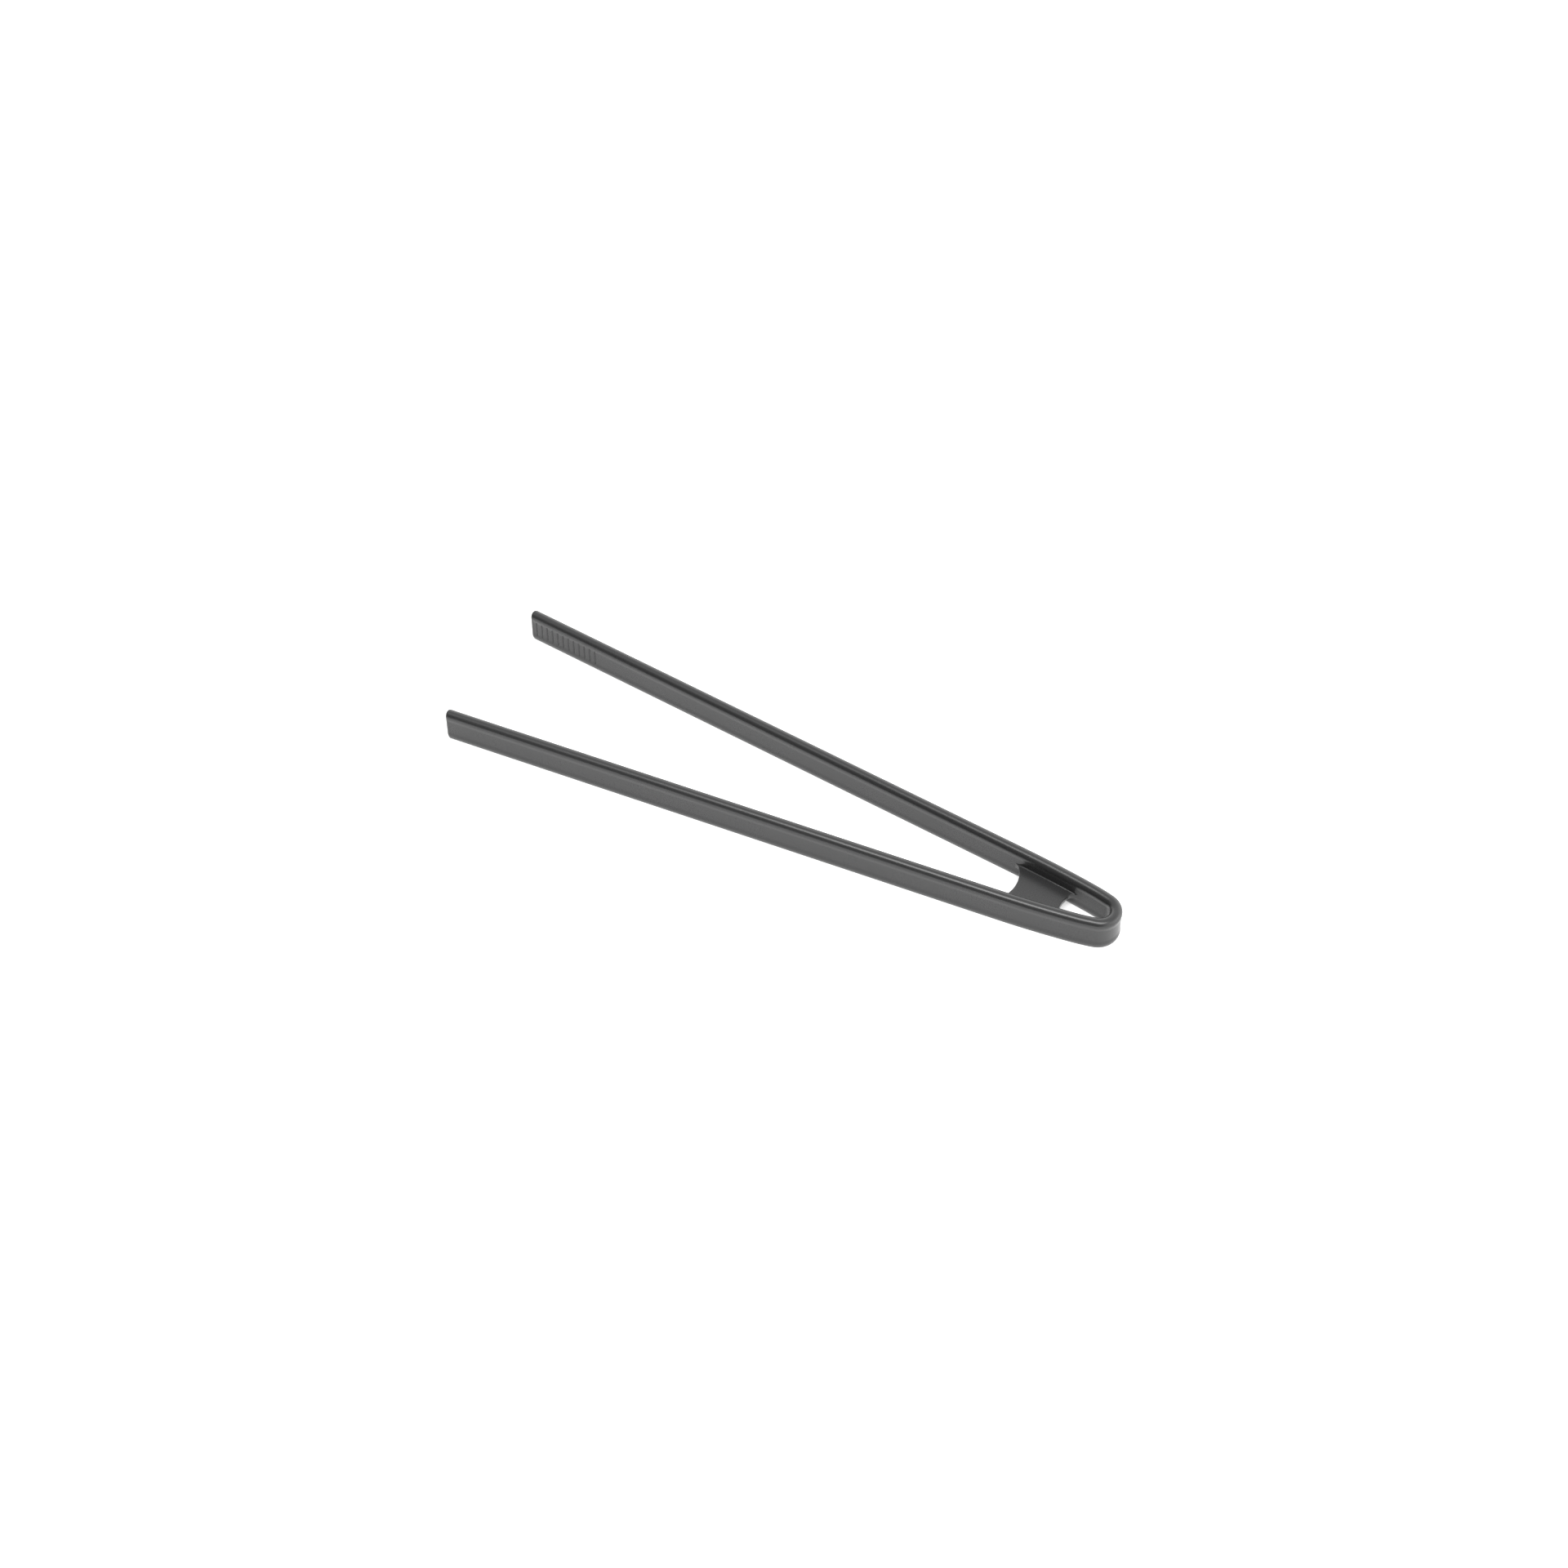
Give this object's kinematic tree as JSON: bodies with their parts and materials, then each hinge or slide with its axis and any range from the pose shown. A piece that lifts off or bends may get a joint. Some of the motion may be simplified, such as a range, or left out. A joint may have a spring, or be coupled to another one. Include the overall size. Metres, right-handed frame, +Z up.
{
  "type": "one-piece sprung kitchen tongs",
  "caption": "Slim one-piece moulded kitchen tongs: a band bent round a bow into long sprung arms with grooved grip ends, and a web plate across the bow that leaves a hanging eye.",
  "frame": {"origin": "centre of the footprint of the tongs lying on their side, on the surface they rest on", "axes": "+X along the tongs towards the bow end, +Y towards the rear arm, +Z up across the band's height"},
  "size_m": [0.29, 0.0716, 0.0143],
  "materials": {
    "moulding": "satin moulded nylon"
  },
  "bodies": {
    "bow": {"bow_loop": "moulding", "web_plate": "moulding"},
    "front_spring": {"front_spring_stretch": "moulding"},
    "front_arm": {"front_handle": "moulding", "front_jaw": "moulding"},
    "rear_spring": {"rear_spring_stretch": "moulding"},
    "rear_arm": {"rear_handle": "moulding", "rear_jaw": "moulding"}
  },
  "joints": [
    {"name": "front_root_bend", "type": "hinge", "parent": "bow", "child": "front_spring", "pos_m": [0.07779, -0.01152, 0.00715], "axis": [0, 0, -1], "range_deg": [0, 5.62], "stiffness_Nm_per_rad": 7.6},
    {"name": "front_middle_bend", "type": "hinge", "parent": "front_spring", "child": "front_arm", "pos_m": [0.01779, -0.01677, 0.00715], "axis": [0, 0, -1], "range_deg": [0, 3.17], "stiffness_Nm_per_rad": 5.7},
    {"name": "rear_root_bend", "type": "hinge", "parent": "bow", "child": "rear_spring", "pos_m": [0.07779, 0.01152, 0.00715], "axis": [0, 0, 1], "range_deg": [0, 5.62], "stiffness_Nm_per_rad": 7.6},
    {"name": "rear_middle_bend", "type": "hinge", "parent": "rear_spring", "child": "rear_arm", "pos_m": [0.01779, 0.01677, 0.00715], "axis": [0, 0, 1], "range_deg": [0, 3.17], "stiffness_Nm_per_rad": 5.7}
  ],
  "couplings": [
    {"joint": "front_middle_bend", "follows": "front_root_bend", "ratio": 0.5625},
    {"joint": "rear_middle_bend", "follows": "rear_root_bend", "ratio": 0.5625}
  ]
}
